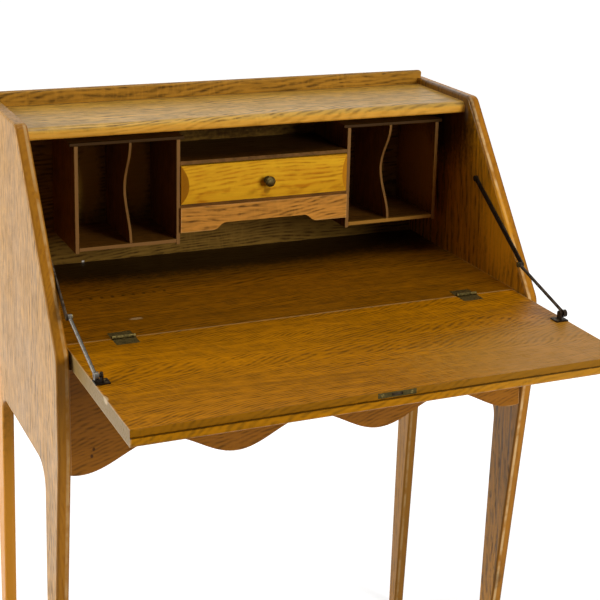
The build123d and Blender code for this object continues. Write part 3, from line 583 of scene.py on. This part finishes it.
class DESK_OT_case(bpy.types.Operator):
    """Finish the sides, top, gallery, back, apron, front rail and cleats"""

    bl_idname = "desk.case"
    bl_label = "Case"

    def execute(self, context):
        self.finish_sides()
        self.finish_top()
        self.finish_back()
        self.finish_front()
        for node in ("back_panel", "cleat_left", "cleat_right", "front_rail"):
            soften(node)
        return {"FINISHED"}

    def finish_sides(self):
        """Left: a pale rear leg. Right: a scuff, painted shade on the upper inner face, painted light at its
        front, a dull rear leg and streaks.
        """
        pale_leg = Mark((-0.3715, 0.325, 0.30), (0.03, 0.09, 0.50), (0.72, 0.29, 0.024), 0.9)
        scuff = Mark((SIDE_FACE, 0.146, 1.006), (0.006, 0.010, 0.018), (0.50, 0.38, 0.26), 0.75)
        # Painted shade: the top board's shadow on the upper part of the right side's inner face
        painted_shade = Mark((SIDE_FACE, 0.22, 1.02), (0.012, 0.16, 0.14), (0.03, 0.010, 0.001), 0.85)
        # Painted light on the front of the right side's inner face
        painted_light = Mark((SIDE_FACE, 0.02, 0.85), (0.012, 0.07, 0.10), (0.80, 0.33, 0.008), 0.6)
        leg = Mark((0.3715, 0.325, 0.30), (0.03, 0.09, 0.50), (0.20, 0.085, 0.006), 0.6)
        streaks = [Mark((SIDE_FACE, y, z), (0.02, 0.0035, 0.09), (0.07, 0.034, 0.011), 0.55)
                   for y, z in ((-0.047, 0.53), (-0.026, 0.45), (-0.006, 0.56), (-0.030, 0.28))]
        varnish("side_left", "left", "z", 1, fleck=0.12, wear=0.0, rim=0.5, marks=(pale_leg,), sheen=0.28,
                glow=(1.0, 0.76, 0.42, 1.0))
        varnish("side_right", "right", "z", 2, fleck=0.1, wear=0.0, rim=0.9, ring=2.2, contrast=0.9,
                marks=(scuff, painted_shade, painted_light, leg, *streaks), sheen=0.30, glow=(1.0, 0.80, 0.50, 1.0))

    def finish_top(self):
        """A warmer, brighter front edge, and dirt with painted shade where the gallery meets the top."""
        # The front edge made warmer and brighter
        nose = Mark((0.0, 0.150, 1.012), (ALL_ALONG, 0.006, 0.010), (0.84, 0.38, 0.030), 0.6)
        # Dirt and painted shade along the seam where the gallery meets the top
        seam = Mark((0.0, 0.319, 1.025), (ALL_ALONG, 0.007, 0.004), (0.15, 0.06, 0.005), 0.65)
        varnish("top_board", "top", "x", 3, fleck=0.2, wear=0.3, slope=0.10, contrast=1.1, marks=(nose, seam),
                sheen=0.40, glow=(1.0, 0.92, 0.80, 1.0))
        varnish("gallery", "rail", "x", 4, wear=0.4)

    def finish_back(self):
        """Painted shade above the shelf, painted light in the left pigeonholes, and one white speck."""
        shaded = Mark((0.027, BACK_FACE, 0.995), (0.19, 0.004, 0.060), (0.03, 0.012, 0.003), 0.9)
        lit = [Mark((x, BACK_FACE, 0.90), (0.028, 0.004, 0.09), (0.40, 0.21, 0.03), 0.8)
               for x in (-0.225, -0.145)]
        speck = Mark((-0.2356, BACK_FACE, 0.7615), (0.003, 0.003, 0.002), (0.85, 0.82, 0.75), 0.9)
        varnish("back_panel", "back", "x", 5, pore=0.9, wear=0.2, marks=(shaded, *lit, speck), sheen=0.06)

    def finish_front(self):
        """Two small knots in the apron. The cleats and the rail behind it are plain."""
        knots = [Mark((x, APRON_FACE, z), (0.0028, 0.004, 0.0040), (0.03, 0.011, 0.002), 0.8)
                 for x, z in ((-0.332, 0.604), (-0.329, 0.614))]
        varnish("front_apron", "apron", "x", 6, fleck=0.15, pore=0.4, wear=0.3, slope=0.3, contrast=0.5,
                marks=knots, sheen=0.12)
        for seed, node, grain in ((7, "cleat_left", "y"), (8, "cleat_right", "y"), (9, "front_rail", "x")):
            varnish(node, "inner", grain, seed)


class DESK_OT_writing(bpy.types.Operator):
    """Finish the fixed bed and the lid"""

    bl_idname = "desk.writing"
    bl_label = "Writing surfaces"

    def execute(self, context):
        warm = (1.0, 0.58, 0.10, 1.0)
        dark = (0.012, 0.005, 0.001)
        dots = [Mark((-0.289 + 0.0165 * index, 0.1425, BED_TOP), (0.0035, 0.005, 0.004), dark, 0.75)
                for index in range(9)]
        # Painted shadow of the pigeonholes over the rear of the bed
        painted_shadow = Mark((0.0, 0.295, BED_TOP), (0.75, 0.115, 0.05), (0.010, 0.004, 0.001), 0.95)
        rub = Mark((-0.235, 0.0355, BED_TOP), (0.012, 0.006, 0.004), (0.50, 0.34, 0.16), 0.6)
        varnish("writing_bed", "bed", "x", 11, fleck=0.1, wear=0.25, pore=0.6, slope=0.15, contrast=1.2,
                marks=(painted_shadow, *dots, rub), sheen=0.12, glow=warm)
        pale_end = (0.235, 0.160, 0.060, 1.0)
        # Painted sheen: a paler, hazy reflection on the lid's right front
        painted_sheen = Mark((0.33, -0.29, BED_TOP), (0.34, 0.16, 0.05), (0.50, 0.26, 0.045), 0.45)
        band = Mark((0.0, -0.3405, 0.7550), (ALL_ALONG, 0.0035, 0.0080), (0.23, 0.095, 0.006), 0.7)
        lip = Mark((0.0, -0.3425, 0.7430), (ALL_ALONG, 0.0040, 0.0080), (0.56, 0.24, 0.012), 0.30)
        chip = Mark((-0.3585, -0.236, 0.759), (0.004, 0.012, 0.008), (0.60, 0.44, 0.25), 0.9)
        # Painted shade: a dark line along the inside corner of the lid's rabbet
        rabbet_shade = Mark((0.0, -0.3415, 0.7494), (ALL_ALONG, 0.0024, 0.0016), dark, 0.7)
        varnish("lid_board", "lid", "x", 12, fleck=0.3, wear=0.3, pore=0.5, ring=0.9, slope=0.30,
                contrast=1.1, ends=0.9, cheek=pale_end, marks=(painted_sheen, band, lip, chip, rabbet_shade),
                sheen=0.10, glow=warm)
        for node in ("writing_bed", "lid_board"):
            soften(node)
        return {"FINISHED"}


class DESK_OT_pigeonholes(bpy.types.Operator):
    """Finish the two banks, the shelf, the drawer's board and the small apron"""

    bl_idname = "desk.pigeonholes"
    bl_label = "Pigeonholes"

    def execute(self, context):
        banks = [node for node in sorted(NODES) if node.startswith("bank_")]
        for index, node in enumerate(banks):
            grain = "x" if node.endswith(("floor", "roof")) else "z"
            front = 0.5 if node.endswith("divider") else 0.75
            varnish(node, "inner", grain, 20 + index, fleck=0.1, wear=0.0, front=front,
                    marks=self.bank_marks(node), sheen=0.08)
        # Painted shade on the shelf and the space above it, under the top
        painted_shade = Mark((0.027, 0.270, 0.950), (0.45, 0.10, 0.05), (0.020, 0.008, 0.002), 0.85)
        varnish("center_shelf", "inner", "x", 40, fleck=0.1, wear=0.0, front=0.55, marks=(painted_shade,), sheen=0.08)
        varnish("drawer_board", "inner", "x", 41, fleck=0.1, wear=0.0, front=0.15, sheen=0.08)
        varnish("center_apron", "small", "x", 42, fleck=0.1, wear=0.2, contrast=0.5)
        for node in (*banks, "center_shelf", "drawer_board", "center_apron"):
            soften(node)
        return {"FINISHED"}

    def bank_marks(self, node):
        """Painted shade on the roofs' front edges, a paler front edge on the right bank's floor, and painted
        light on the right bank's outer wall.
        """
        low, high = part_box(node)
        place, reach = (0.0, low.y, high.z), (ALL_ALONG, 0.006, 0.03)
        if node.endswith("roof"):
            # Painted shade on a roof's front edge
            return (Mark(place, reach, (0.020, 0.008, 0.001), 0.85),)
        if node == "bank_right_floor":
            return (Mark(place, reach, (0.45, 0.21, 0.025), 0.6),)
        if node == "bank_right_outer_wall":
            # Painted light on the front of the right outer wall's inner face
            return (Mark((low.x, 0.25, 0.90), (0.02, 0.10, 0.10), (0.40, 0.18, 0.025), 0.75),)
        return ()


class DESK_OT_drawer(bpy.types.Operator):
    """Finish the drawer"""

    bl_idname = "desk.drawer"
    bl_label = "Drawer"

    def execute(self, context):
        # A darker patch under the knob
        under_knob = Mark((0.027, 0.1825, 0.897), (0.007, 0.020, 0.013), (0.22, 0.10, 0.008), 0.6)
        # The half-moon end facets are darker: end grain together with painted shade
        varnish("drawer_front", "drawer", "x", 51, fleck=0.1, wear=0.0, pore=0.2, ring=0.9, contrast=0.7,
                ends=0.9, marks=(under_knob,), glow=(1.0, 0.75, 0.3, 1.0))
        for seed, node, grain in ((52, "drawer_left_side", "y"), (53, "drawer_right_side", "y"),
                                  (54, "drawer_back", "x"), (55, "drawer_bottom", "x")):
            varnish(node, "inner", grain, seed, fleck=0.1, wear=0.0)
            soften(node)
        return {"FINISHED"}


class DESK_OT_fittings(bpy.types.Operator):
    """Finish the hinges, lock, knob and stays"""

    bl_idname = "desk.fittings"
    bl_label = "Fittings"

    def execute(self, context):
        paint = context.scene.desk_metal
        brass = metal("Aged brass", paint.brass, paint.tarnish)
        dark = metal("Dark steel", paint.steel, paint.burnt, 0.02)
        for node, piece in NODES.items():
            name = piece.material_slots[0].material.name
            if name.startswith("brass"):
                dress(node, brass)
            elif name.startswith("steel"):
                dress(node, dark)
        dress("stay_left_lower_link", metal("Bright steel", paint.bright, paint.worn, -0.04))
        dress("lock_selvage", metal("Dark brass", paint.olive, paint.tarnish))
        dress("drawer_knob", metal("Knob brass", shade(paint.olive, paint.knob_gain), paint.olive))
        return {"FINISHED"}


class DESK_OT_screws(bpy.types.Operator):
    """Set slotted screws in the hinges, the lock's face, the strike plate and the stays' eye plates"""

    bl_idname = "desk.screws"
    bl_label = "Screws"

    def execute(self, context):
        brass = bpy.data.materials["Aged brass"]
        heads = []
        for side in ("left", "right"):
            heads += self.hinge_heads(side)
            heads += self.eye_heads(side)
        heads += self.lock_heads()
        for index, (name, body, spot, normal, turn, scale) in enumerate(heads):
            piece = screw_head(f"screw_{name}_{index}", spot, normal, turn, scale)
            piece.data.materials.append(brass)
            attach(piece, body)
        return {"FINISHED"}

    def hinge_heads(self, side):
        """Two heads in each leaf, near the edge away from the knuckles."""
        heads = []
        for leaf, body in (("bed", "case"), ("lid", "lid")):
            low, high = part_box(f"hinge_{side}_{leaf}_leaf")
            y = high.y - HINGE_INSET if leaf == "bed" else low.y + HINGE_INSET
            for share, turn in ((0.22, 0.6), (0.78, 1.9)):
                spot = (low.x + (high.x - low.x) * share, y, BED_TOP - HINGE_SINK)
                heads.append((f"hinge_{side}_{leaf}", body, spot, (0, 0, 1), turn, 1.0))
        return heads

    def eye_heads(self, side):
        """Two smaller heads in a stay's eye plate, on the side away from the board's end."""
        low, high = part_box(f"stay_{side}_eye")
        x = low.x + EYE_INSET if side == "right" else high.x - EYE_INSET
        heads = []
        for offset, turn in ((-EYE_SPREAD, 0.4), (EYE_SPREAD, 1.2)):
            spot = (x, (low.y + high.y) / 2 + offset, BED_TOP + EYE_PLATE - PLATE_SINK)
            heads.append((f"stay_{side}_eye", "lid", spot, (0, 0, 1), turn, 0.9))
        return heads

    def lock_heads(self):
        """A head near each end of the lock's face, and of the strike plate under the top."""
        low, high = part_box("lock_selvage")
        y, z = low.y + PLATE_SINK, (low.z + high.z) / 2
        heads = [("lock_selvage", "lid", (x, y, z), (0, -1, 0), turn, 1.0)
                 for x, turn in ((low.x + SELVAGE_INSET, 0.3), (high.x - SELVAGE_INSET, 1.4))]
        low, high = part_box("strike_plate")
        y, z = (low.y + high.y) / 2, low.z + PLATE_SINK
        heads += [("strike_plate", "case", (x, y, z), (0, 0, -1), turn, 1.0)
                  for x, turn in ((low.x + STRIKE_INSET, 0.9), (high.x - STRIKE_INSET, 2.2))]
        return heads


class DESK_OT_stage(bpy.types.Operator):
    """Set up the floor, the lights and the camera"""

    bl_idname = "desk.stage"
    bl_label = "Stage"

    def execute(self, context):
        scene = context.scene
        stage = scene.desk_stage
        scene.view_settings.view_transform = "Standard"
        self.lay_floor(stage)
        self.light_world(scene, stage)
        for name, place in LAMP_PLACE.items():
            self.hang_lamp(scene, name, getattr(stage, name), Vector(place))
        self.aim_camera(scene, stage)
        return {"FINISHED"}

    def lay_floor(self, stage):
        """A flat square over two parameters, x and y, brightened to white for what sees or mirrors it."""
        edge = np.linspace(-FLOOR_HALF, FLOOR_HALF, 3)
        x, y = np.meshgrid(edge, edge, indexing="ij")
        floor = grid_mesh("floor", x, y, np.zeros_like(x))
        material, tree, shader, coords = blank_material("Studio floor")
        shader.inputs["Base Color"].default_value = stage.floor
        shader.inputs["Roughness"].default_value = stage.floor_rough
        path = put(tree, "ShaderNodeLightPath").outputs
        seen = calc(tree, "MAXIMUM", path["Is Camera Ray"], path["Is Glossy Ray"])
        seen = calc(tree, "MAXIMUM", seen, path["Is Transmission Ray"])
        far = put(tree, "ShaderNodeVectorMath", {0: coords["Object"]}, operation="LENGTH").outputs["Value"]
        rest = calc(tree, "MULTIPLY", step(tree, far, 0.5 * stage.reach, stage.reach), 1.0 - stage.glow)
        level = calc(tree, "MULTIPLY", seen, calc(tree, "ADD", rest, stage.glow))
        glow = put(tree, "ShaderNodeEmission", {"Strength": level})
        both = put(tree, "ShaderNodeAddShader", {0: shader.outputs[0], 1: glow.outputs[0]})
        output = next(node for node in tree.nodes if node.type == "OUTPUT_MATERIAL")
        tree.links.new(both.outputs[0], output.inputs["Surface"])
        floor.data.materials.append(material)

    def light_world(self, scene, stage):
        """White where the background is seen or mirrored, and a softer light all round."""
        world = bpy.data.worlds.new("Studio")
        scene.world = world
        world.use_nodes = True
        tree = world.node_tree
        tree.nodes.clear()
        path = put(tree, "ShaderNodeLightPath").outputs
        seen = calc(tree, "MAXIMUM", path["Is Camera Ray"], path["Is Glossy Ray"])
        seen = calc(tree, "MAXIMUM", seen, path["Is Transmission Ray"])
        strength = put(tree, "ShaderNodeMix", {0: seen, 2: stage.ambient, 3: 1.0}).outputs[0]
        sky = put(tree, "ShaderNodeBackground", {"Color": (1.0, 1.0, 1.0, 1.0), "Strength": strength})
        put(tree, "ShaderNodeOutputWorld", {"Surface": sky.outputs[0]})

    def hang_lamp(self, scene, name, power, place):
        """A square lamp that faces the desk. The low one in front isn't mirrored: it would whiten the top."""
        lamp = bpy.data.lights.new(name.title(), "AREA")
        lamp.energy = power
        lamp.size = LAMP_SIZE
        piece = bpy.data.objects.new(name.title(), lamp)
        piece.visible_glossy = name != "fill"
        turn = (Vector(LAMP_AIM) - place).to_track_quat("-Z", "Y")
        piece.matrix_world = Matrix.Translation(place) @ turn.to_matrix().to_4x4()
        scene.collection.objects.link(piece)

    def aim_camera(self, scene, stage):
        """The camera's axes: forward from azimuth and elevation, right and up turned by the roll."""
        lens = bpy.data.cameras.new("Camera")
        lens.sensor_width = SENSOR
        lens.sensor_fit = "HORIZONTAL"
        lens.lens = stage.lens
        lens.shift_x, lens.shift_y = stage.shift
        a, e, r = stage.azimuth, stage.elevation, stage.roll
        forward = Vector((math.sin(a) * math.cos(e), math.cos(a) * math.cos(e), -math.sin(e)))
        right = forward.cross(Vector((0.0, 0.0, 1.0))).normalized()
        up = right.cross(forward)
        rolled_right = right * math.cos(r) + up * math.sin(r)
        rolled_up = up * math.cos(r) - right * math.sin(r)
        turn = Matrix((rolled_right, rolled_up, -forward)).transposed().to_4x4()
        camera = bpy.data.objects.new("Camera", lens)
        camera.matrix_world = Matrix.Translation(stage.place) @ turn
        scene.collection.objects.link(camera)
        scene.camera = camera


class DESK_PT_panel(bpy.types.Panel):
    """The desk's steps in the sidebar"""

    bl_idname = "DESK_PT_panel"
    bl_label = "Secretary desk"
    bl_space_type = "VIEW_3D"
    bl_region_type = "UI"
    bl_category = "Desk"

    def draw(self, context):
        for operator in STEPS:
            self.layout.operator(operator.bl_idname)


STEPS = (DESK_OT_case, DESK_OT_writing, DESK_OT_pigeonholes, DESK_OT_drawer, DESK_OT_fittings, DESK_OT_screws,
         DESK_OT_stage)
GROUPS = {"desk_oak": OakSettings, "desk_metal": MetalSettings, "desk_screw": ScrewSettings,
          "desk_stage": StageSettings}


def register():
    """Make the settings, steps and panel known."""
    for kind in (*GROUPS.values(), *STEPS, DESK_PT_panel):
        bpy.utils.register_class(kind)
    for name, kind in GROUPS.items():
        setattr(bpy.types.Scene, name, PointerProperty(type=kind))


def unregister():
    """Take the settings, steps and panel away."""
    for name in GROUPS:
        delattr(bpy.types.Scene, name)
    for kind in (DESK_PT_panel, *reversed(STEPS), *reversed(GROUPS.values())):
        bpy.utils.unregister_class(kind)


def main():
    """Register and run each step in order."""
    register()
    for operator in STEPS:
        space, action = operator.bl_idname.split(".")
        getattr(getattr(bpy.ops, space), action)()
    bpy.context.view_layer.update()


if __name__ == "__main__":
    main()
